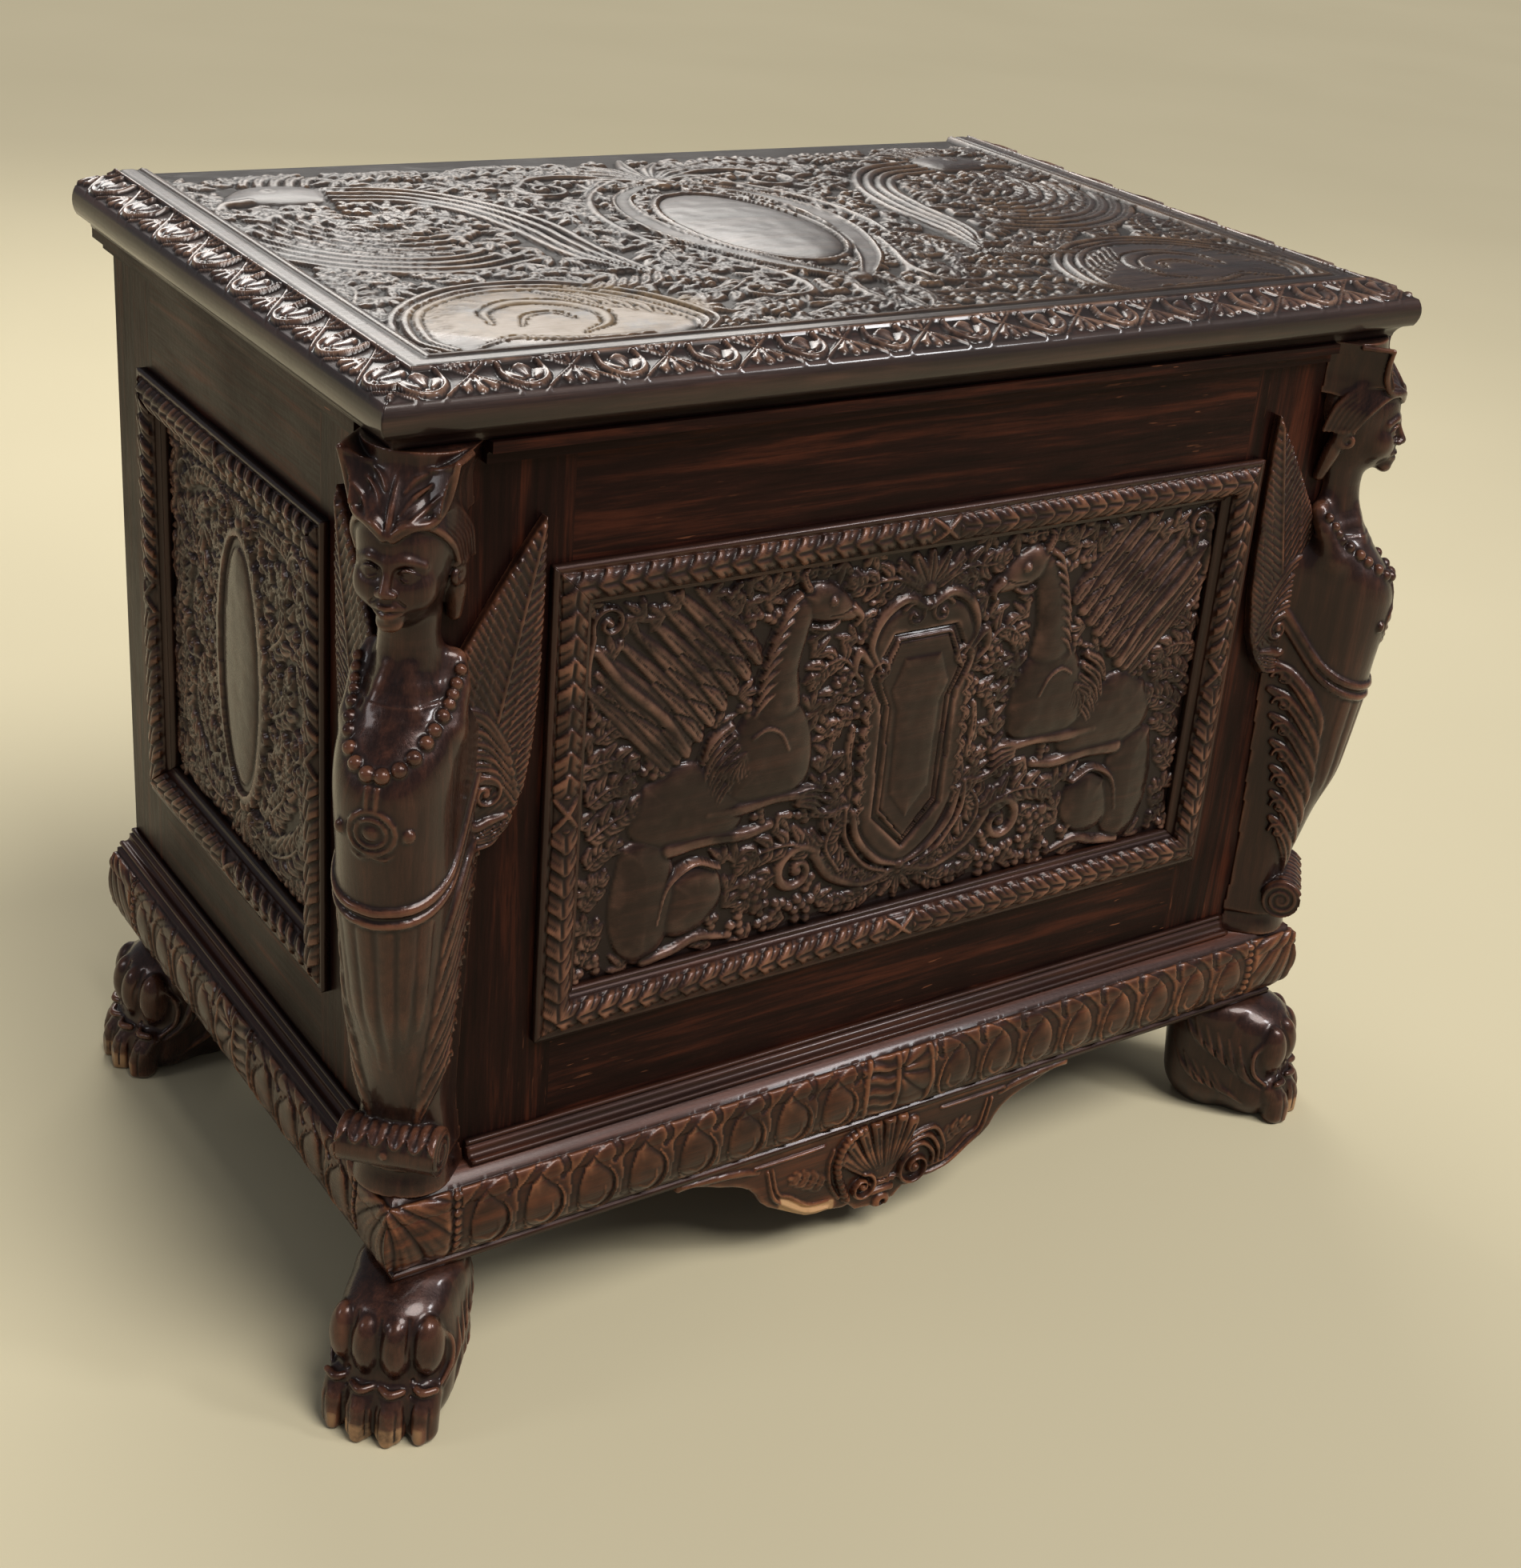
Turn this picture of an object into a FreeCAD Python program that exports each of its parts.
import FreeCAD, Part
import math
import os
from types import SimpleNamespace

import Sketcher
from FreeCAD import Placement, Rotation, Vector

# A carved walnut marriage chest: a panelled case on a moulded base with four lion-paw feet,
# winged term figures on the front corners and a carved lid on two butt hinges.
# Origin: middle of the floor rectangle under the whole chest. Front is -Y, up is +Z. Millimetres.

SIZES = {
    # the whole chest
    "chest_height": 791.0,
    "case_width": 854.0,
    "case_depth": 550.0,
    "base_bottom": 116.0,
    "base_top": 190.5,
    # how far the base and the lid stand out of the case, at each side and in front
    "base_side": 14.0,
    "base_lead": 21.0,
    "lid_side": 30.5,
    "lid_lead": 25.0,
    "toe_reach": 51.0,
    # the lid
    "lid_rim": 45.0,
    "lid_border": 35.5,
    "lid_board": 26.0,
    "lid_slope": 12.0,
    "lid_round": 3.0,
    "lid_thumb": 22.0,
    "lid_cove": 11.0,
    "lid_back_rail": 40.0,
    "lid_gap": 0.4,
    "lid_margin": 24.0,
    "lid_sink": 4.2,
    # boards and joints of the case
    "wall": 24.0,
    "panel_sink": 8.0,
    "panel_tongue": 10.0,
    "floor_board": 16.0,
    "tenon_thick": 8.0,
    "tenon_long": 30.0,
    "tenon_shoulder": 12.0,
    # applied frames round the carved panels, and their distance from the base, the lid and
    # the corners, which leaves room for the wings
    "frame_above_base": 87.5,
    "frame_below_lid": 96.0,
    "frame_strip": 33.0,
    "frame_proud": 10.0,
    "frame_from_corner": 101.5,
    "side_frame_front": 123.0,
    "side_frame_back": 66.0,
    # carving in relief
    "carving_low": 5.0,
    "carving_high": 7.0,
    # strips under the lid and above the base
    "top_strip_high": 17.0,
    "top_strip_proud": 16.0,
    "step_high": 16.0,
    "step_proud": 17.0,
    # the base
    "base_timber": 65.0,
    "base_bulge": 10.0,
    "base_fillet": 12.0,
    "corner_block": 58.0,
    # corner figures
    "figure_half": 39.0,
    "figure_reach": 63.0,
    "scroll_round": 18.5,
    # wings
    "wing_thick": 13.0,
    "wing_below_lid": 58.0,
    "wing_tall": 240.0,
    "wing_span": 94.0,
    # apron
    "apron_width": 400.0,
    "apron_height": 90.0,
    "apron_thick": 20.0,
    "apron_setback": 2.0,
    # feet
    "paw_width": 90.0,
    "paw_length": 132.0,
    "toe_round": 12.5,
    "rear_paw_reach": 35.0,
    # hinges
    "hinge_inset": 167.0,
    "hinge_long": 64.0,
    "leaf_deep": 21.0,
    "leaf_thick": 2.0,
    "knuckle_round": 4.5,
    "knuckle_gap": 0.4,
    "pin_round": 2.2,
    "pin_slack": 0.06,
    # how far a cutting shape runs past what it cuts
    "overrun": 5.0,
}

doc = FreeCAD.newDocument("cassone")
parts = []


class Size:
    """A length that holds its number and the sheet expression that gives it."""

    def __init__(self, number, text):
        self.number = float(number)
        self.text = text

    def __float__(self):
        return self.number

    def __add__(self, other):
        return combine(self, "+", other)

    def __radd__(self, other):
        return combine(other, "+", self)

    def __sub__(self, other):
        return combine(self, "-", other)

    def __rsub__(self, other):
        return combine(other, "-", self)

    def __mul__(self, other):
        return combine(self, "*", other)

    def __rmul__(self, other):
        return combine(other, "*", self)

    def __truediv__(self, other):
        return combine(self, "/", other)

    def __neg__(self):
        return combine(0, "-", self)


def combine(left, sign, right):
    a = float(left)
    b = float(right)
    number = {"+": a + b, "-": a - b, "*": a * b, "/": a / b if b else 0.0}[sign]
    return Size(number, "(%s %s %s)" % (text_of(left), sign, text_of(right)))


def text_of(value):
    return value.text if isinstance(value, Size) else repr(float(value))


def fill_sheet():
    sheet = doc.addObject("Spreadsheet::Sheet", "Sizes")
    named = {}
    for row, (name, number) in enumerate(SIZES.items(), start=1):
        sheet.set("A%d" % row, name)
        sheet.set("B%d" % row, str(number))
        sheet.setAlias("B%d" % row, name)
        named[name] = Size(number, "Sizes." + name)
    doc.recompute()
    return SimpleNamespace(**named)


at = fill_sheet()

# heights and planes that many pieces share
knuckle_out = at.knuckle_round * 2 + at.knuckle_gap
base_depth = at.case_depth + at.base_lead
back = (base_depth + at.toe_reach - knuckle_out) / 2
case_front = back - at.case_depth
lid_front = case_front - at.lid_lead
base_front = case_front - at.base_lead
case_half = at.case_width / 2
lid_half = case_half + at.lid_side
base_half = case_half + at.base_side
joint = at.chest_height - at.lid_rim
case_top = joint - at.lid_gap
figure_high = case_top - at.base_top
frame_bottom = at.base_top + at.frame_above_base
frame_top = joint - at.frame_below_lid
front_frame = at.case_width - at.frame_from_corner * 2
side_frame = at.case_depth - at.side_frame_front - at.side_frame_back
hinge_spacing = at.case_width - at.hinge_inset * 2
open_inset = at.frame_strip / 2
open_bottom = frame_bottom + open_inset
open_top = frame_top - open_inset
# the mouldings under the lid and on the base stop against the figures, a little outside
# the figures' own half width
STRIP_STOP_SHARE = 1.25
STEP_STOP_SHARE = 1.28
strip_stop = at.figure_half * STRIP_STOP_SHARE
step_stop = at.figure_half * STEP_STOP_SHARE
hinge_y = back + at.knuckle_round + at.knuckle_gap
hinge_z = joint - at.lid_gap / 2
QUARTER_TURN = 90


def keep(item, name):
    item.Label = name
    parts.append(item)
    return item


def place(item, x, y, z, turn=None):
    item.Placement = Placement(Vector(float(x), float(y), float(z)), turn or Rotation())
    for axis, value in zip("xyz", (x, y, z)):
        item.setExpression("Placement.Base." + axis, text_of(value))


def block(name, x, y, z):
    """A box between a low and a high size on each axis."""
    box = doc.addObject("Part::Box", name)
    for side, (low, high) in zip(("Length", "Width", "Height"), (x, y, z)):
        box.setExpression(side, text_of(high - low))
    place(box, x[0], y[0], z[0])
    return box


def rod(name, radius, length, x, y, z, turn):
    cylinder = doc.addObject("Part::Cylinder", name)
    cylinder.setExpression("Radius", text_of(radius))
    cylinder.setExpression("Height", text_of(length))
    place(cylinder, x, y, z, turn)
    return cylinder


def cut(name, item, tools):
    for number, tool in enumerate(tools, start=1):
        result = doc.addObject("Part::Cut", "%s_cut%d" % (name, number))
        result.Base = item
        result.Tool = tool
        item = result
    return item


def join(name, items):
    fused = doc.addObject("Part::MultiFuse", name + "_joined")
    fused.Shapes = items
    fused.Refine = True
    return fused


def group(name, items):
    compound = doc.addObject("Part::Compound", name)
    compound.Links = items
    return keep(compound, name)


# sketches


def plane_of(body, role):
    return next(item for item in body.Origin.OriginFeatures if item.Role == role)


def new_sketch(body, name, role):
    sketch = body.newObject("Sketcher::SketchObject", name)
    sketch.AttachmentSupport = [(plane_of(body, role), "")]
    sketch.MapMode = "FlatFace"
    return sketch


def arc_between(start, end, bulge):
    """The arc from start to end that stands out by bulge, to the right of the way when positive."""
    chord = end - start
    side = Vector(chord.y, -chord.x, 0).normalize()
    radius = chord.Length ** 2 / (8 * abs(bulge)) + abs(bulge) / 2
    centre = (start + end) / 2 - side * math.copysign(radius - abs(bulge), bulge)
    first, last = (start, end) if bulge > 0 else (end, start)
    angles = [math.atan2(p.y - centre.y, p.x - centre.x) for p in (first, last)]
    return Part.ArcOfCircle(Part.Circle(centre, Vector(0, 0, 1), radius), *angles)


def outline(sketch, points):
    """A closed outline. A point is (x, y), or (x, y, bulge) where an arc leaves it."""
    count = len(points)
    starts = []
    for number, point in enumerate(points):
        after = points[(number + 1) % count]
        start = Vector(float(point[0]), float(point[1]), 0)
        end = Vector(float(after[0]), float(after[1]), 0)
        if len(point) == 2:
            edge = sketch.addGeometry(Part.LineSegment(start, end))
            starts.append((edge, 1, 2))
            continue
        bulge = float(point[2])
        edge = sketch.addGeometry(arc_between(start, end, bulge))
        starts.append((edge, 1, 2) if bulge > 0 else (edge, 2, 1))
        wide = point[0] - after[0]
        high = point[1] - after[1]
        depth = point[2] if bulge > 0 else -point[2]
        radius = (wide * wide + high * high) / (depth * 8) + depth / 2
        fix(sketch, ["Radius", edge, float(radius)], radius)
    for number, (edge, first, last) in enumerate(starts):
        following = starts[(number + 1) % count]
        sketch.addConstraint(Sketcher.Constraint("Coincident", edge, last, following[0], following[1]))
        for kind, value in zip(("DistanceX", "DistanceY"), points[number][:2]):
            fix(sketch, [kind, -1, 1, edge, first, float(value)], value)


def fix(sketch, words, value):
    index = sketch.addConstraint(Sketcher.Constraint(*words))
    if isinstance(value, Size):
        sketch.setExpression("Constraints[%d]" % index, value.text)


def pad(body, name, sketch, length, both_ways=False):
    feature = body.newObject("PartDesign::Pad", name)
    feature.Profile = sketch
    feature.Midplane = both_ways
    feature.setExpression("Length", text_of(length))
    return feature


def pocket_through(body, name, sketch):
    feature = body.newObject("PartDesign::Pocket", name)
    feature.Profile = sketch
    feature.Type = "ThroughAll"
    feature.Midplane = True
    return feature


# mouldings


def strip(name, profile, length, ends):
    """A moulding along X. The profile's first size runs inwards, its second up. Ends may be mitred."""
    body = doc.addObject("PartDesign::Body", name)
    section = new_sketch(body, name + "_section", "YZ_Plane")
    outline(section, profile)
    pad(body, name + "_length", section, length, both_ways=True)
    depth = max((point[0] for point in profile), key=float) + at.overrun
    for side, mitred in zip((-1, 1), ends):
        if not mitred:
            continue
        mitre = new_sketch(body, "%s_mitre%d" % (name, side > 0), "XY_Plane")
        tip = length / 2 * side
        corners = [
            (tip + at.overrun * side, -at.overrun),
            (tip - depth * side, depth),
            (tip + at.overrun * side, depth),
        ]
        outline(mitre, corners)
        pocket_through(body, "%s_end%d" % (name, side > 0), mitre)
    return body


def aim(inwards, up):
    """The turn that takes a strip's inward and upward directions to these two."""
    return Rotation(inwards.cross(up), inwards, up, "ZYX")


EAST, NORTH, UP = Vector(1, 0, 0), Vector(0, 1, 0), Vector(0, 0, 1)


def lid_profile():
    """A sloping border for carving, a rounded thumb edge and a cove under it."""
    slope_end = at.lid_rim - at.lid_slope
    thumb_end = slope_end - at.lid_thumb
    hollow = at.lid_cove / 4
    return [
        (at.lid_border, at.lid_rim),
        (at.lid_round, slope_end, at.lid_round),
        (at.lid_round, thumb_end, -hollow),
        (at.lid_round + at.lid_cove, 0 * at.lid_cove),
        (at.lid_border, 0 * at.lid_cove),
    ]


# rows are the way inwards and the way up as shares of two sizes, and an arc's bulge
# as a share of the first one
BASE_TOP_SHARES = [(0.6, 0.0, 0.0), (0.6, -0.35, 0.25), (0.2, -1.5, 0.2)]
BASE_FOOT_SHARES = [
    (0.2, 2.2, 0.2), (1.0, 1.0, 0.0), (1.0, 0.65, 0.0), (1.3, 0.65, 0.0),
    (1.3, 0.4, 0.0), (1.0, 0.4, 0.0), (1.0, 0.0, 0.0),
]
LAUREL_SHARES = [
    (1.0, 0.0, 0.0), (0.85, 0.5, 0.0), (0.76, 0.5, 0.15), (0.2, 0.5, 0.0), (0.12, 0.7, 0.0),
    (0.0, 0.7, 0.0),
]
TOP_STRIP_SHARES = [
    (0.0, 1.0, 0.0), (0.0, 0.55, 0.0), (0.25, 0.55, -0.06), (0.5, 0.35, 0.0), (0.5, 0.0, 0.0),
    (1.0, 0.0, 0.0), (1.0, 1.0, 0.0),
]
STEP_SHARES = [
    (0.0, 0.0, 0.0), (1.0, 0.0, 0.0), (1.0, 1.0, 0.0), (0.8, 1.0, 0.08), (0.5, 0.75, 0.0),
    (0.5, 0.45, 0.0), (0.0, 0.45, 0.0),
]


def shared(rows, first, second, start=None):
    """The points of a share table, with the second size counted from start."""
    points = []
    for inwards, up, bulge in rows:
        height = second * up if start is None else start + second * up
        points.append((first * inwards, height, first * bulge) if bulge else (first * inwards, height))
    return points


def base_profile():
    """A carved cushion with a small round above it and two fillets below."""
    high = at.base_top - at.base_bottom
    depth = at.base_timber + at.base_bulge
    shoulder = shared(BASE_TOP_SHARES, at.base_bulge, at.base_fillet, high)
    foot = shared(BASE_FOOT_SHARES, at.base_bulge, at.base_fillet)
    return [(depth, high)] + shoulder + foot + [(depth, 0 * depth)]


def frame_profile():
    """Laurel frame: rests on the rail with its outer half and on the sunk panel with its inner half."""
    wide = at.frame_strip
    seat = [(0 * wide, 0 * wide), (wide / 2, 0 * wide), (wide / 2, -at.panel_sink), (wide, -at.panel_sink)]
    return seat + shared(LAUREL_SHARES, wide, at.frame_proud)


def top_strip_profile():
    """Two fillets under the lid, against the case wall."""
    return shared(TOP_STRIP_SHARES, at.top_strip_proud, at.top_strip_high)


def step_profile():
    """Two steps and a small cove above the base."""
    return shared(STEP_SHARES, at.step_proud, at.step_high)


def three_sided(kind, profile, half, front, z, rear, mitred, shorten=None):
    """A moulding round the front and both sides, with its outer face at half and front."""
    inset = shorten if shorten is not None else 0 * half
    ends = (mitred, mitred)
    front_piece = strip(kind + "_front", profile, half * 2 - inset * 2, ends)
    place(front_piece, 0, front, z)
    keep(front_piece, kind + "_front")
    run = rear - front - inset
    middle = (rear + front + inset) / 2
    for name, side in (("_left", -1), ("_right", 1)):
        ends = (False, mitred) if side < 0 else (mitred, False)
        piece = strip(kind + name, profile, run, ends)
        place(piece, half * side, middle, z, aim(EAST * -side, UP))
        keep(piece, kind + name)


# walls of rails, stiles and sunk panels


def wall_box(side, name, along, depth, z):
    """A box in one wall: along the wall, depth inwards from its outer face, and height."""
    if side == "front":
        return block(name, along, (case_front + depth[0], case_front + depth[1]), z)
    if side == "left":
        return block(name, (depth[0] - case_half, depth[1] - case_half), along, z)
    return block(name, (case_half - depth[1], case_half - depth[0]), along, z)


def wall_pieces(side, names, along):
    """Two rails tenoned into two stiles, rabbeted inside for the sunk panel."""
    outer_low, open_low, open_high, outer_high = along
    through = (0 * at.wall, at.wall)
    housing = (at.panel_sink, at.wall)
    middle = (at.wall - at.tenon_thick) / 2
    cheek = (middle, middle + at.tenon_thick)
    panel_along = (open_low - at.panel_tongue, open_high + at.panel_tongue)
    panel_z = (open_bottom - at.panel_tongue, open_top + at.panel_tongue)
    rails = (("bottom", at.base_top, open_bottom), ("top", open_top, case_top))
    for level, low, high in rails:
        name = "%s_%s_rail" % (side, level)
        blank = wall_box(side, name + "_blank", (open_low, open_high), through, (low, high))
        rabbet_z = (high - at.panel_tongue, high) if level == "bottom" else (low, low + at.panel_tongue)
        rabbet = wall_box(side, name + "_rabbet", (open_low, open_high), housing, rabbet_z)
        tenon_z = (low + at.tenon_shoulder, high - at.tenon_shoulder)
        ends = (open_low - at.tenon_long, open_high + at.tenon_long)
        tenon = wall_box(side, name + "_tenons", ends, cheek, tenon_z)
        keep(join(name, [cut(name, blank, [rabbet]), tenon]), name)
    stiles = ((names[0], outer_low, open_low, -1), (names[1], open_high, outer_high, 1))
    for name, low, high, way in stiles:
        blank = wall_box(side, name + "_blank", (low, high), through, (at.base_top, case_top))
        if way < 0:
            edge = (high - at.panel_tongue, high)
            deep = (high - at.tenon_long, high)
        else:
            edge = (low, low + at.panel_tongue)
            deep = (low, low + at.tenon_long)
        tools = [wall_box(side, name + "_rabbet", edge, housing, panel_z)]
        for level, bottom, top in rails:
            mortise_z = (bottom + at.tenon_shoulder, top - at.tenon_shoulder)
            tools.append(wall_box(side, "%s_mortise_%s" % (name, level), deep, cheek, mortise_z))
        keep(cut(name, blank, tools), name)
    return panel_along, housing, panel_z


def frame_strips(side, centre, wide, surface):
    """Four mitred strips round a panel. Surface is the place of the wall's outer face."""
    out = {"front": -NORTH, "left": -EAST, "right": EAST}[side]
    across = {"front": EAST, "left": NORTH, "right": NORTH}[side]
    middle_z = (frame_bottom + frame_top) / 2
    tall = frame_top - frame_bottom
    pieces = []
    runs = (
        ("top", wide, centre, frame_top, -UP),
        ("bottom", wide, centre, frame_bottom, UP),
        ("low", tall, centre - wide / 2, middle_z, across),
        ("high", tall, centre + wide / 2, middle_z, -across),
    )
    for name, length, spot, z, inwards in runs:
        piece = strip("%s_frame_%s" % (side, name), frame_profile(), length, (True, True))
        x, y = (spot, surface) if side == "front" else (surface, spot)
        place(piece, x, y, z, aim(inwards, out))
        pieces.append(piece)
    return pieces


# carving in relief on panels, the lid and the apron


def relief_body(name, rows, across, up, height, spot, turn, mirrored=1):
    """A raised form. Rows are the way across and up, and an arc's bulge, as shares of two sizes."""
    body = doc.addObject("PartDesign::Body", name)
    sketch = new_sketch(body, name + "_outline", "XY_Plane")
    points = []
    for x, y, bulge in rows:
        point = (across * x * mirrored, up * y)
        points.append(point + (across * bulge * mirrored,) if bulge else point)
    outline(sketch, points)
    pad(body, name + "_height", sketch, height)
    place(body, *spot, turn)
    return body


# rows of an oval: the way across and up, and the arc's bulge as a share of its half width
OVAL_SHARES = [(0.0, -1.0, 0.37), (1.0, 0.0, 0.37), (0.0, 1.0, 0.37), (-1.0, 0.0, 0.37)]


def oval_body(name, across, up, height, spot, turn):
    """A raised upright oval."""
    return relief_body(name, OVAL_SHARES, across, up, height, spot, turn)


def both_hands(name, rows, across, up, height, spot, turn):
    return [
        relief_body(name + side, rows, across, up, height, spot, turn, sign)
        for side, sign in (("_left", -1), ("_right", 1))
    ]


# the front panel, as shares of half its field: shield, griffin, wing, leaf scroll and palmette
SHIELD_SHARES = [
    (0.0, 0.74, 0.0), (0.12, 0.67, -0.015), (0.19, 0.39, 0.01), (0.17, -0.4, -0.01), (0.0, -0.79, -0.01),
    (-0.17, -0.4, 0.01), (-0.19, 0.39, -0.015), (-0.12, 0.67, 0.0),
]
TABLET_SHARES = [
    (-0.1, 0.55, 0.0), (-0.16, 0.33, 0.0), (-0.12, 0.17, 0.0), (-0.11, -0.46, 0.0), (0.0, -0.68, 0.0),
    (0.11, -0.46, 0.0), (0.12, 0.17, 0.0), (0.16, 0.33, 0.0), (0.1, 0.55, 0.0),
]
GRIFFIN_SHARES = [
    (0.22, 0.7, 0.0), (0.29, 0.86, 0.0), (0.38, 0.9, -0.02), (0.51, 0.33, 0.02), (0.73, 0.08, -0.04),
    (0.89, -0.4, -0.03), (0.79, -0.98, 0.0), (0.7, -0.66, 0.02), (0.43, -0.42, 0.0), (0.44, -0.3, 0.0),
    (0.29, -0.3, 0.0), (0.29, -0.18, 0.0), (0.37, -0.15, -0.02), (0.37, 0.26, 0.0), (0.34, 0.68, 0.0),
]
FEATHER_FAN_SHARES = [
    (0.6, 0.43, 0.0), (0.56, 0.98, 0.0), (0.86, 0.94, 0.0), (0.97, 0.72, 0.0), (0.7, 0.18, 0.0),
]
LEAF_SCROLL_SHARES = [
    (-0.03, -0.84, 0.03), (0.28, -0.72, 0.05), (0.5, -0.6, 0.0), (0.34, -0.44, 0.0), (0.2, -0.57, 0.01),
]
FRONT_PALM_SHARES = [(0.0, 0.76, 0.0), (0.24, 0.88, 0.0), (0.0, 0.98, 0.0), (-0.24, 0.88, 0.0)]


def front_carving():
    across = front_frame / 2 - at.frame_strip
    up = (frame_top - frame_bottom) / 2 - at.frame_strip
    spot = (0, case_front + at.panel_sink, (frame_top + frame_bottom) / 2)
    turn = Rotation(EAST, QUARTER_TURN)
    size = (across, up)
    bodies = [
        relief_body("shield", SHIELD_SHARES, *size, at.carving_low, spot, turn),
        relief_body("tablet", TABLET_SHARES, *size, at.carving_high, spot, turn),
        relief_body("front_palm", FRONT_PALM_SHARES, *size, at.carving_low, spot, turn),
    ]
    bodies += both_hands("griffin", GRIFFIN_SHARES, *size, at.carving_high, spot, turn)
    bodies += both_hands("feather_fan", FEATHER_FAN_SHARES, *size, at.carving_low, spot, turn)
    return bodies + both_hands("leaf_scroll", LEAF_SCROLL_SHARES, *size, at.carving_low, spot, turn)


def front_wall():
    open_half = front_frame / 2 - open_inset
    along = (-case_half, -open_half, open_half, case_half)
    spans = wall_pieces("front", ("front_left_stile", "front_right_stile"), along)
    name = "front_carved_panel"
    board = wall_box("front", name + "_board", *spans)
    keep(join(name, [board] + front_carving()), name)
    pieces = frame_strips("front", 0 * case_half, front_frame, case_front)
    for piece, name in zip(pieces, ("top", "bottom", "left", "right")):
        keep(piece, "front_frame_" + name)


# half width and half height of the boss, as shares of half the side panel's field
SIDE_OVAL_SHARES = (0.33, 0.76)


def side_wall(side, sign):
    frame_back = back - at.side_frame_back
    frame_front = frame_back - side_frame
    along = (case_front + at.wall, frame_front + open_inset, frame_back - open_inset, back)
    names = (side + "_front_stile", side + "_back_stile")
    spans = wall_pieces(side, names, along)
    centre = (frame_back + frame_front) / 2
    name = side + "_carved_panel"
    spot = ((case_half - at.panel_sink) * sign, centre, (frame_top + frame_bottom) / 2)
    turn = Rotation(Vector(0, sign, 0), UP, Vector(sign, 0, 0), "ZXY")
    across = side_frame / 2 - at.frame_strip
    up = (frame_top - frame_bottom) / 2 - at.frame_strip
    board = wall_box(side, name + "_board", *spans)
    oval = (across * SIDE_OVAL_SHARES[0], up * SIDE_OVAL_SHARES[1])
    boss = oval_body(side + "_boss", *oval, at.carving_high, spot, turn)
    keep(join(name, [board, boss]), name)
    group(side + "_frame", frame_strips(side, centre, side_frame, case_half * sign))


def back_and_floor():
    inside = (at.wall - case_half, case_half - at.wall)
    deep = (back - at.wall, back)
    seam = (at.base_top + case_top) / 2
    keep(block("back_lower_board", inside, deep, (at.base_top, seam)), "back_lower_board")
    upper = block("back_upper_blank", inside, deep, (seam, case_top))
    tools = []
    for number, x in enumerate(hinge_places()):
        span = (x - at.hinge_long / 2, x + at.hinge_long / 2)
        recess = (back - at.leaf_deep, back + at.overrun)
        level = (case_top - at.leaf_thick, case_top + at.overrun)
        tools.append(block("back_recess%d" % number, span, recess, level))
    keep(cut("back_upper_board", upper, tools), "back_upper_board")
    width = inside[1] * 2
    run = (case_front + at.wall, back - at.wall)
    step = (run[1] - run[0]) / 3
    level = (at.base_top, at.base_top + at.floor_board)
    boards = []
    for number in range(3):
        low = run[0] + step * number
        boards.append(block("floor_board%d" % number, (-width / 2, width / 2), (low, low + step), level))
    group("floor_boards", boards)


# the base


# the rail at the back of the base is a little thicker than the walls
BACK_RAIL_SHARE = 1.5


def base():
    half = base_half + at.base_bulge
    front = base_front - at.base_bulge
    three_sided("base_moulding", base_profile(), half, front, at.base_bottom, back, True)
    inner = base_half - at.base_timber
    z = (at.base_bottom, at.base_top)
    rear = back - at.wall * BACK_RAIL_SHARE
    rail = block("base_back_rail", (-inner, inner), (rear, back), z)
    keep(rail, "base_back_rail")
    wedges = []
    near = base_front + at.base_timber
    for number, (sx, y, sy) in enumerate(((-1, near, 1), (1, near, 1), (-1, rear, -1), (1, rear, -1))):
        wedges.append(corner_block("corner_block%d" % number, inner * sx, -sx, y, sy))
    group("corner_blocks", wedges)
    three_sided("base_step", step_profile(), case_half + at.step_proud, case_front - at.step_proud,
                at.base_top, back, False, shorten=at.step_proud + step_stop)


def corner_block(name, x, x_way, y, y_way):
    body = doc.addObject("PartDesign::Body", name)
    sketch = new_sketch(body, name + "_plan", "XY_Plane")
    leg = at.corner_block
    outline(sketch, [(0 * leg, 0 * leg), (leg * x_way, 0 * leg), (0 * leg, leg * y_way)])
    pad(body, name + "_height", sketch, at.base_top - at.base_bottom)
    place(body, x, y, at.base_bottom)
    return body


# rows run from the apron's end to its middle: half width, drop and the arc's bulge
APRON_SHARES = [
    (1.0, 0.0, 0.0), (1.0, 0.1, 0.015), (0.8, 0.19, 0.0), (0.65, 0.33, 0.04), (0.55, 0.6, -0.03),
    (0.36, 0.84, -0.02), (0.17, 0.9, 0.015), (0.1, 0.98, -0.02), (0.0, 1.0, 0.0),
]


# a shell and two volutes on the apron, as shares of half its width and of its height
SHELL_SHARES = [
    (0.0, -0.88, 0.05), (0.2, -0.5, 0.05), (0.14, -0.12, 0.03), (-0.16, -0.12, 0.05),
    (-0.24, -0.5, 0.05),
]
SIDE_LEAF_SHARES = [(0.2, -0.55, 0.03), (0.4, -0.4, 0.0), (0.52, -0.12, 0.0), (0.3, -0.22, 0.0)]


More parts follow.
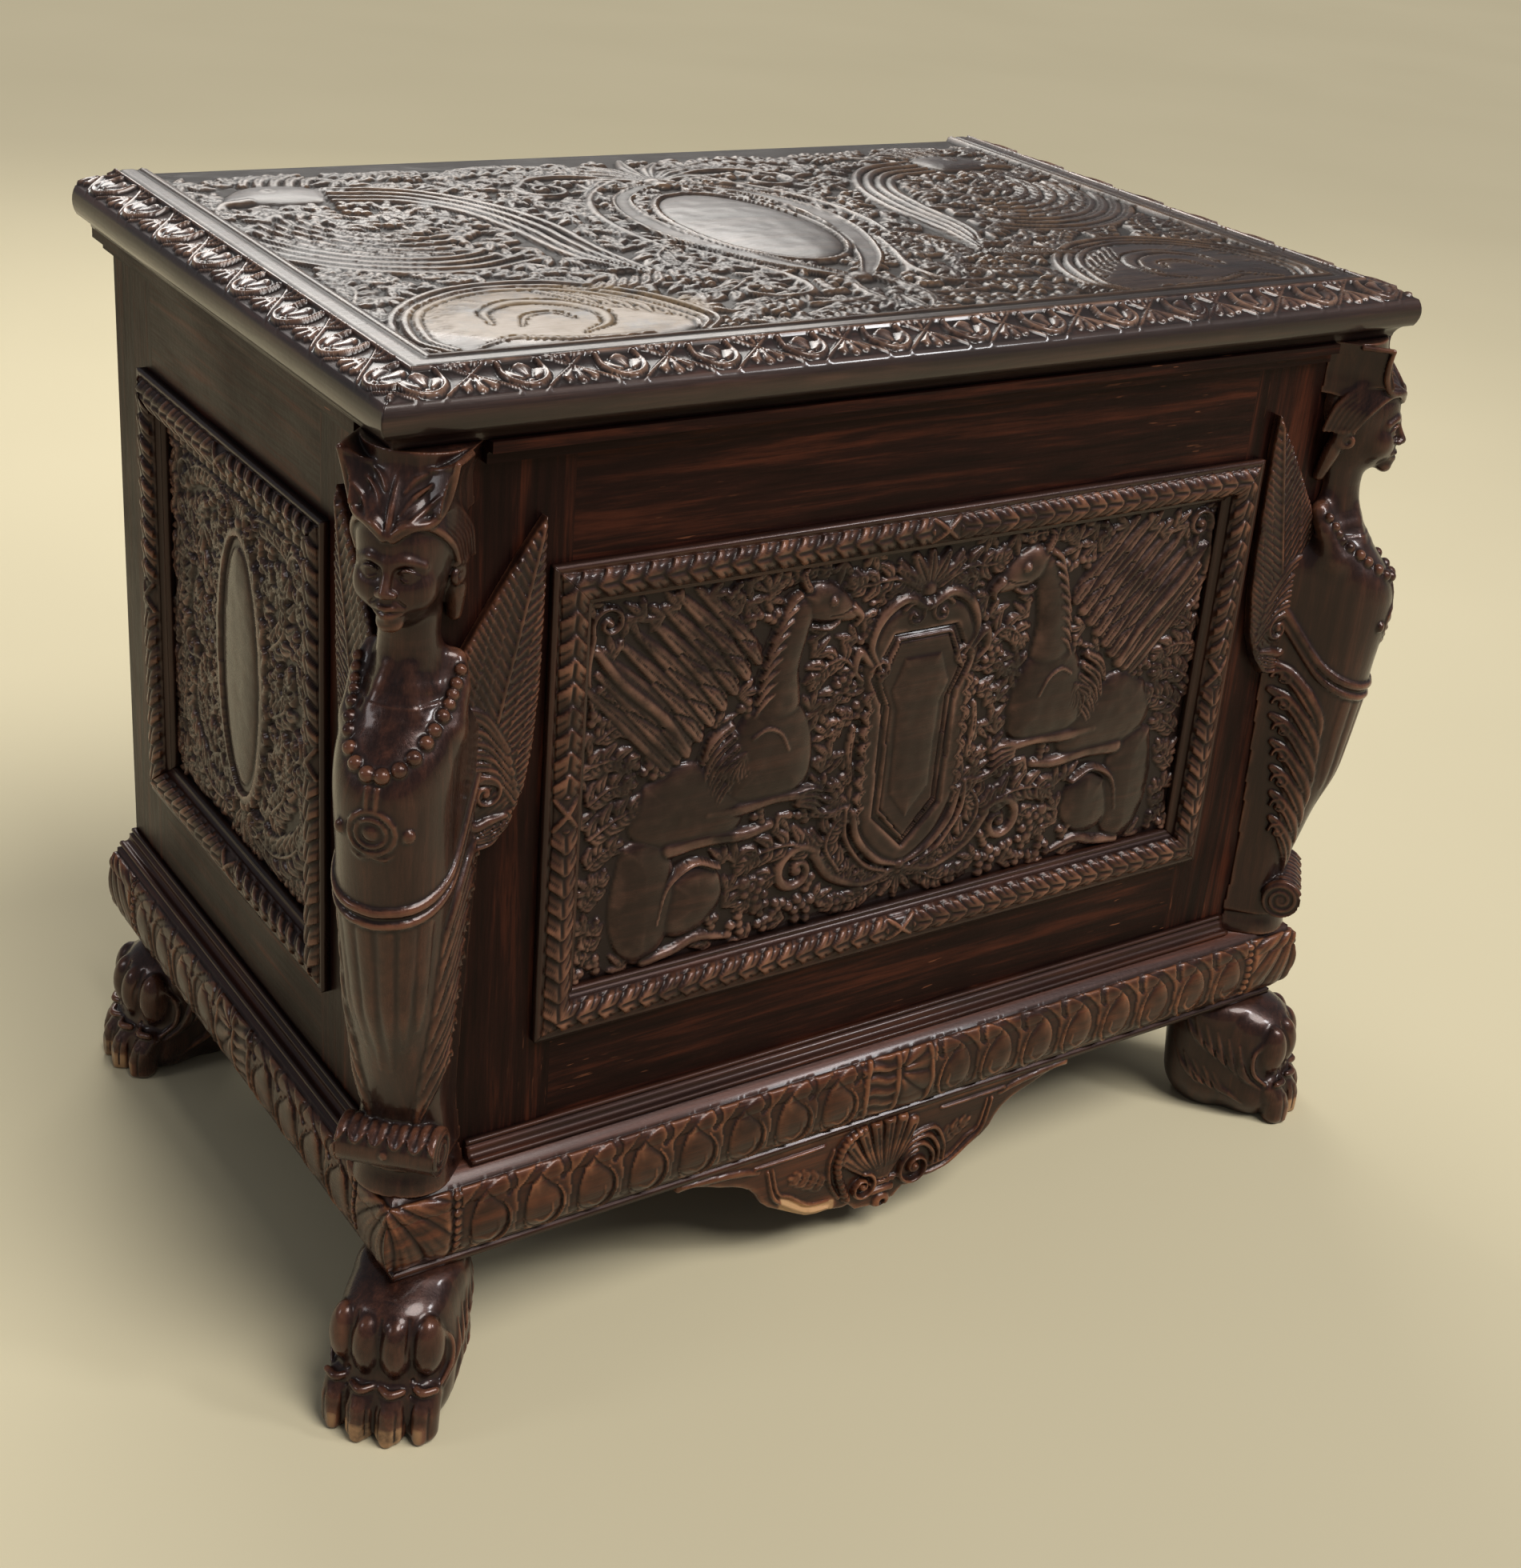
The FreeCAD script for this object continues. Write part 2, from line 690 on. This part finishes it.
def apron():
    """Shaped board under the middle of the base, with a scalloped lower edge and a raised shell."""
    half = at.apron_width / 2
    drop = at.apron_height
    right = [[half * x, drop * -y, half * bulge] for x, y, bulge in APRON_SHARES]
    left = [[-x, y, bulge] for x, y, bulge in reversed(right[:-1])]
    bulges = [point[2] for point in right[:-1]]
    bulges += list(reversed(bulges)) + [0 * half]
    points = []
    for spot, bulge in zip(right + left, bulges):
        points.append(spot[:2] + [bulge] if float(bulge) else spot[:2])
    body = doc.addObject("PartDesign::Body", "apron_blank")
    face = new_sketch(body, "apron_face", "XZ_Plane")
    outline(face, points)
    pad(body, "apron_board", face, at.apron_thick)
    front = base_front + at.apron_setback
    place(body, 0 * half, front + at.apron_thick, at.base_bottom)
    spot = (0 * half, front, at.base_bottom)
    turn = Rotation(EAST, QUARTER_TURN)
    carving = [relief_body("apron_shell", SHELL_SHARES, half, drop, at.carving_high, spot, turn)]
    carving += both_hands("apron_leaf", SIDE_LEAF_SHARES, half, drop, at.carving_low, spot, turn)
    keep(join("front_apron", [body] + carving), "front_apron")


# corner figures and wings


def shape_part(name, shape, x, y, z, angle):
    feature = doc.addObject("Part::Feature", name)
    feature.Shape = shape
    place(feature, x, y, z, Rotation(UP, angle))
    return keep(feature, name)


# how far a corner may lie off the plane of its face's other three
FLAT_WITHIN = 0.001
CURVE_STEPS = 9
# how far round the curve of a section lies behind its front, and how wide it is there
ROUND_SHARES = (0.42, 0.84, 0.72)


def facetted_solid(rings):
    """A solid with flat faces through closed rings, which all have the same number of corners."""
    faces = []
    count = len(rings[0])
    for lower, upper in zip(rings[:-1], rings[1:]):
        for number in range(count):
            after = (number + 1) % count
            a, b, c, d = lower[number], lower[after], upper[after], upper[number]
            off_plane = abs((b - a).cross(c - a).normalize().dot(d - a))
            if off_plane < FLAT_WITHIN:
                faces.append([a, b, c, d])
            elif number * 2 < count:
                faces += [[a, b, c], [a, c, d]]
            else:
                faces += [[a, b, d], [b, c, d]]
    faces += [rings[0], rings[-1]]
    shell = Part.Shell([Part.Face(Part.makePolygon(corners + corners[:1])) for corners in faces])
    shell.sewShape()
    solid = Part.Solid(shell)
    if solid.Volume < 0:
        solid.reverse()
    return solid


def notched_ring(height, half, seat, reach, slope=0.0):
    """Corners that fit round the case corner at the origin and stand out towards -Y."""
    deep = seat + reach
    beside, ahead, narrow = ROUND_SHARES
    side = Vector(half, seat - deep * beside)
    right = [Vector(seat, seat), side, Vector(half * narrow, seat - deep * ahead)]
    left = [Vector(-point.x, point.y) for point in reversed(right)]
    curve = Part.BSplineCurve()
    curve.interpolate(right + [Vector(0, -reach)] + left)
    corners = [Vector()] + curve.discretize(Number=CURVE_STEPS)
    return [Vector(point.x, point.y, height + slope * (point.y + reach)) for point in corners]


def notched_solid(shares, slope=0.0):
    high = float(figure_high)
    half = float(at.figure_half)
    reach = float(at.figure_reach)
    rings = [notched_ring(z * high, w * half, seat * half, out * reach, slope) for z, w, seat, out in shares]
    return facetted_solid(rings)


# rows are height, half width, seat on the case and reach
BLOCK_SHARES = [(0.0, 0.93, 0.9, 0.42), (0.02, 0.9, 0.86, 0.38), (0.045, 0.85, 0.8, 0.31)]
TORSO_SHARES = [
    (0.04, 0.84, 0.82, 0.3), (0.107, 0.79, 0.77, 0.27), (0.14, 0.79, 0.77, 0.33), (0.2, 0.83, 0.81, 0.47),
    (0.285, 0.9, 0.87, 0.69), (0.36, 0.94, 0.9, 0.82), (0.44, 1.0, 0.9, 0.89), (0.51, 1.01, 0.88, 0.94),
    (0.565, 1.03, 0.85, 1.0), (0.61, 1.04, 0.79, 0.97), (0.64, 1.0, 0.72, 0.85), (0.664, 0.9, 0.63, 0.62),
    (0.685, 0.62, 0.45, 0.38),
]
BELT_SHARES = [
    (0.43, 1.03, 0.93, 0.9), (0.437, 1.07, 0.95, 0.94), (0.462, 1.07, 0.95, 0.95), (0.469, 1.03, 0.93, 0.92),
]
BELT_SLOPE = 0.5
NECK_SHARES = [
    (0.68, 0.58, 0.42, 0.36), (0.72, 0.52, 0.36, 0.27), (0.81, 0.56, 0.42, 0.3),
]
HEAD_SHARES = [
    (0.792, 0.34, 0.3, 0.5), (0.802, 0.52, 0.4, 0.61), (0.828, 0.76, 0.54, 0.62), (0.86, 0.91, 0.63, 0.6),
    (0.895, 0.95, 0.69, 0.61), (0.925, 0.88, 0.7, 0.56), (0.952, 0.78, 0.68, 0.42),
]
# rows are height, half width, seat, and reach at the horns and in the hollow between them
ABACUS_SHARES = [
    (0.946, 0.76, 0.66, 0.26, 0.1), (0.97, 0.84, 0.72, 0.25, 0.09), (0.988, 1.0, 0.86, 0.33, 0.12),
    (1.0, 1.0, 0.86, 0.33, 0.12),
]
# the nose of the plain face: height, half width, root and reach
NOSE_SHARES = [(0.838, 0.13, 0.5, 0.7), (0.852, 0.1, 0.5, 0.68), (0.885, 0.05, 0.5, 0.61)]
SCROLL_PLACE_SHARES = (0.073, 0.95)


def abacus_ring(height, half, seat, horn, hollow):
    """Corners of a block with two horned corners and a hollow front."""
    left, right = (Vector(half * side, -horn, height) for side in (-1, 1))
    seats = [Vector(seat * side, seat, height) for side in (1, -1)]
    curve = Part.Arc(left, Vector(0, -hollow, height), right)
    return curve.discretize(Number=CURVE_STEPS // 2) + [seats[0], Vector(0, 0, height), seats[1]]


def nose_ring(height, half, root, reach):
    return [Vector(-half, -root, height), Vector(0, -reach, height), Vector(half, -root, height)]


def figure_shape():
    """A term: leaf block, scroll, sheath, belt and torso, neck, head and abacus in one carved piece."""
    high = float(figure_high)
    half = float(at.figure_half)
    reach = float(at.figure_reach)
    round_off = float(at.scroll_round)
    rise, wide = SCROLL_PLACE_SHARES
    scroll_end = Vector(-half * wide, -round_off, high * rise)
    scroll = Part.makeCylinder(round_off, half * wide * 2, scroll_end, EAST)
    abacus = [
        abacus_ring(z * high, w * half, seat * half, horn * reach, hollow * reach)
        for z, w, seat, horn, hollow in ABACUS_SHARES
    ]
    nose = [nose_ring(z * high, w * half, root * reach, out * reach) for z, w, root, out in NOSE_SHARES]
    solids = [notched_solid(shares) for shares in (BLOCK_SHARES, TORSO_SHARES, NECK_SHARES, HEAD_SHARES)]
    solids += [notched_solid(BELT_SHARES, BELT_SLOPE), scroll]
    solids += [facetted_solid(abacus), facetted_solid(nose)]
    return solids[0].fuse(solids[1:]).removeSplitter()


# rows run round the wing from its tip: the way out from the corner, height and the arc's bulge
WING_SHARES = [
    (1.0, 1.0, 0.03), (0.42, 0.68, 0.03), (0.12, 0.46, 0.06), (0.16, 0.12, 0.06),
    (0.5, 0.0, 0.045), (0.8, 0.16, 0.045), (0.97, 0.5, 0.03),
]


def wing(name, face, sign, figure):
    """A feathered wing on one face. Sign is the way it leaves the corner along the face."""
    body = doc.addObject("PartDesign::Body", name + "_blade")
    plan = new_sketch(body, name + "_plan", "XZ_Plane")
    low = joint - at.wing_below_lid - at.wing_tall
    points = [
        (at.wing_span * x * sign, low + at.wing_tall * y, at.wing_span * bulge * sign)
        for x, y, bulge in WING_SHARES
    ]
    outline(plan, points)
    pad(body, name + "_depth", plan, at.wing_thick)
    x, y, angle = face
    place(body, x, y, 0 * at.wing_thick, Rotation(UP, angle))
    keep(cut(name, body, [figure]), name)


def figures():
    for side, sign in (("left", -1), ("right", 1)):
        corner_x = case_half * sign
        name = "term_figure_" + side
        figure = shape_part(name, figure_shape(), corner_x, case_front, at.base_top, QUARTER_TURN / 2 * sign)
        wing(side + "_front_wing", (corner_x, case_front, 0), -sign, figure)
        wing(side + "_side_wing", (corner_x, case_front, QUARTER_TURN * sign), sign, figure)


# feet


# how square a paw's outline is: 0 is round and 1 is square
SQUARE_SHARE = 0.4


def squared_ring(height, half, rear, front, sides=12):
    """A level outline with many straight sides between rear and front, which both count towards -Y."""
    middle = (rear + front) / 2
    deep = (front - rear) / 2
    points = []
    for number in range(sides):
        turn = 2 * math.pi * number / sides
        x, y = math.sin(turn), math.cos(turn)
        stretch = max(abs(x), abs(y)) ** SQUARE_SHARE
        points.append(Vector(half * x / stretch, -middle - deep * y / stretch, height))
    return points


# rows are height, half width, rear and front
PAW_SHARES = [
    (0.0, 0.43, -0.62, 0.1), (0.2, 0.45, -0.64, 0.15), (0.42, 0.46, -0.66, 0.15), (0.66, 0.46, -0.66, 0.11),
    (0.86, 0.46, -0.66, 0.05), (1.0, 0.46, -0.66, 0.02),
]
# sideways place of each toe, as a share of the paw's width, and how far the middle toes lead
TOE_SHARES = (-0.352, -0.118, 0.118, 0.352)
LEAD_SHARE = 0.075
# the two joints of a toe: height as a share of the paw's, then the way back from the tip
# and the radius as shares of toe_round
TIP_SHARES = [
    (0.0, 0.1, 0.9), (0.11, 0.0, 1.0), (0.27, 0.3, 0.88), (0.37, 0.8, 0.5),
]
KNUCKLE_SHARES = [
    (0.37, 0.9, 0.55), (0.47, 0.75, 0.9), (0.65, 1.0, 0.86), (0.81, 1.6, 0.45),
]


def toe_centre(middle_toe):
    """Distance of a toe's round tip from the corner, so that a paw at 45 degrees reaches toe_reach."""
    outer = (float(at.toe_reach) - float(at.toe_round)) * math.sqrt(2) - max(TOE_SHARES) * float(at.paw_width)
    return outer + (LEAD_SHARE * float(at.paw_length) if middle_toe else 0)


def toe_joint(rows, x, reach):
    """One swelling of a toe, lofted through level rings of eight sides."""
    high = float(at.base_bottom)
    radius = float(at.toe_round)
    rings = []
    for z, behind, swell in rows:
        centre = Vector(x, -reach + radius * behind, high * z)
        spokes = [Rotation(UP, QUARTER_TURN / 2 * turn).multVec(EAST) for turn in range(8)]
        rings.append([centre + spoke * radius * swell for spoke in spokes])
    return facetted_solid(rings)


def paw_shape():
    """A lion's paw with four jointed toes, toes towards -Y, its corner of the base at the origin."""
    high = float(at.base_bottom)
    wide = float(at.paw_width)
    long = float(at.paw_length)
    rings = [squared_ring(z * high, w * wide, rear * long, front * long) for z, w, rear, front in PAW_SHARES]
    solids = [facetted_solid(rings)]
    for across in TOE_SHARES:
        reach = toe_centre(abs(across) < max(TOE_SHARES))
        solids += [toe_joint(rows, across * wide, reach) for rows in (TIP_SHARES, KNUCKLE_SHARES)]
    return solids[0].fuse(solids[1:]).removeSplitter()


def feet():
    tip = toe_centre(True) + float(at.toe_round)
    for side, sign in (("left", -1), ("right", 1)):
        name = "front_%s_paw" % side
        shape_part(name, paw_shape(), base_half * sign, base_front, 0 * base_half, QUARTER_TURN / 2 * sign)
        x = (base_half + at.rear_paw_reach - tip) * sign
        name = "rear_%s_paw" % side
        shape_part(name, paw_shape(), x, back - at.paw_width / 2, 0 * base_half, QUARTER_TURN * sign)


# the lid


# the lid's carving, as shares of half its field: strapwork, neck, wing, scroll, palmette and foot
STRAP_SHARES = (0.2, 0.57, 0.145, 0.4)
NECK_BAND_SHARES = [
    (0.36, -0.12, 0.0), (0.355, 0.22, 0.0), (0.48, 0.56, -0.02), (0.72, 0.68, 0.0), (0.72, 0.56, 0.02),
    (0.5, 0.43, 0.0), (0.425, 0.18, 0.0), (0.425, -0.12, 0.0),
]
LID_WING_SHARES = [
    (0.46, 0.2, 0.0), (0.66, 0.4, 0.0), (0.9, 0.38, 0.0), (0.93, 0.0, -0.03), (0.78, -0.42, 0.02),
    (0.5, -0.24, 0.0),
]
LID_SCROLL_SHARES = [
    (0.93, -0.88, 0.25), (0.42, -0.88, 0.0), (0.48, -0.88, -0.185), (0.87, -0.88, 0.0),
]
LID_PALM_SHARES = [(0.0, 0.56, 0.0), (0.16, 0.8, 0.03), (0.0, 0.9, 0.03), (-0.16, 0.8, 0.0)]
LID_FOOT_SHARES = [(0.0, -0.54, 0.0), (0.08, -0.7, 0.0), (0.0, -0.9, 0.0), (-0.08, -0.7, 0.0)]
LID_EYE_SHARES = (0.675, -0.72, 0.075)
# the lower forms of the lid's carving, as a share of the full depth of relief
LID_LOW_SHARE = 0.8


def lid_carving():
    across = lid_half - at.lid_border
    up = (at.case_depth + at.lid_lead - at.lid_border) / 2
    floor = at.chest_height - at.lid_sink
    middle = (lid_front + at.lid_border + back) / 2
    spot = (0, middle, floor)
    flat = Rotation()
    low = at.lid_sink * LID_LOW_SHARE
    half, tall, inner_half, inner_tall = STRAP_SHARES
    bodies = [
        oval_body("lid_strap", across * half, up * tall, low, spot, flat),
        oval_body("lid_oval", across * inner_half, up * inner_tall, at.lid_sink, spot, flat),
        relief_body("lid_palm", LID_PALM_SHARES, across, up, low, spot, flat),
        relief_body("lid_foot", LID_FOOT_SHARES, across, up, low, spot, flat),
    ]
    bodies += both_hands("lid_neck", NECK_BAND_SHARES, across, up, at.lid_sink, spot, flat)
    bodies += both_hands("lid_wing", LID_WING_SHARES, across, up, low, spot, flat)
    bodies += both_hands("lid_scroll", LID_SCROLL_SHARES, across, up, at.lid_sink, spot, flat)
    x, y, size = LID_EYE_SHARES
    for sign in (-1, 1):
        name = "lid_eye%d" % (sign > 0)
        bodies.append(rod(name, across * size, low, across * x * sign, middle + up * y, floor, flat))
    return bodies


def lid():
    three_sided("lid_border", lid_profile(), lid_half, lid_front, joint, back, True)
    inner = lid_half - at.lid_border
    under = at.chest_height - at.lid_board
    front = lid_front + at.lid_border
    name = "lid_carved_board"
    board = block(name + "_blank", (-inner, inner), (front, back), (under, at.chest_height))
    sunk = (at.chest_height - at.lid_sink, at.chest_height + at.overrun)
    sides = (at.lid_margin - inner, inner - at.lid_margin)
    field = block(name + "_field", sides, (front + at.lid_margin, back + at.overrun), sunk)
    keep(join(name, [cut(name, board, [field])] + lid_carving()), name)
    blank = block("lid_back_rail_blank", (-inner, inner), (back - at.lid_back_rail, back), (joint, under))
    tools = []
    for number, x in enumerate(hinge_places()):
        span = (x - at.hinge_long / 2, x + at.hinge_long / 2)
        recess = (back - at.leaf_deep, back + at.overrun)
        level = (joint - at.overrun, joint + at.leaf_thick)
        tools.append(block("lid_recess%d" % number, span, recess, level))
    keep(cut("lid_back_rail", blank, tools), "lid_back_rail")


# hinges


def hinge_places():
    return (-hinge_spacing / 2, hinge_spacing / 2)


def hinge(side, x):
    """A butt hinge let into the back board and the lid rail, its knuckles behind the chest."""
    half = at.hinge_long / 2
    lie = Rotation(NORTH, QUARTER_TURN)
    left = x - half
    third = at.hinge_long / 6
    slack = at.knuckle_gap / 2
    reach = at.knuckle_round + at.overrun
    name = side + "_hinge_case_leaf"
    level = (case_top - at.leaf_thick, case_top)
    plate = block(name + "_plate", (left, x + half), (back - at.leaf_deep, hinge_y), level)
    barrel = rod(name + "_barrel", at.knuckle_round, at.hinge_long, left, hinge_y, hinge_z, lie)
    gap = block(name + "_gap", (x - third - slack, x + third + slack), (back, hinge_y + reach),
                (hinge_z - reach, hinge_z + reach))
    bore = rod(name + "_bore", at.pin_round, at.hinge_long, left, hinge_y, hinge_z, lie)
    keep(cut(name, join(name, [plate, barrel]), [gap, bore]), name)
    name = side + "_hinge_lid_leaf"
    level = (joint, joint + at.leaf_thick)
    plate = block(name + "_plate", (left, x + half), (back - at.leaf_deep, back), level)
    middle = (x - third + slack, x + third - slack)
    neck = block(name + "_neck", middle, (back, hinge_y), level)
    barrel = rod(name + "_barrel", at.knuckle_round, middle[1] - middle[0], middle[0], hinge_y, hinge_z, lie)
    bore = rod(name + "_bore", at.pin_round + at.pin_slack, at.hinge_long, left, hinge_y, hinge_z, lie)
    keep(cut(name, join(name, [plate, neck, barrel]), [bore]), name)
    pin = rod(side + "_hinge_pin", at.pin_round, at.hinge_long, left, hinge_y, hinge_z, lie)
    keep(pin, side + "_hinge_pin")


def hinges():
    for side, x in zip(("left", "right"), hinge_places()):
        hinge(side, x)


def check_and_write():
    doc.recompute()
    for item in doc.Objects:
        if "Invalid" in item.State or "Error" in item.State:
            raise RuntimeError("%s failed: %s" % (item.Label, item.State))
    for item in parts:
        if item.Shape.isNull() or not item.Shape.isValid():
            raise RuntimeError("%s has no sound shape" % item.Label)
    os.makedirs("parts", exist_ok=True)
    for item in parts:
        item.Shape.exportStep(os.path.join("parts", item.Label + ".step"))
    whole = Part.makeCompound([item.Shape for item in parts])
    print("pieces", len(parts), "box", whole.BoundBox)


front_wall()
side_wall("left", -1)
side_wall("right", 1)
back_and_floor()
three_sided("top_strip", top_strip_profile(), case_half + at.top_strip_proud, case_front - at.top_strip_proud,
            case_top - at.top_strip_high, back, False, shorten=at.top_strip_proud + strip_stop)
base()
apron()
figures()
feet()
lid()
hinges()
check_and_write()
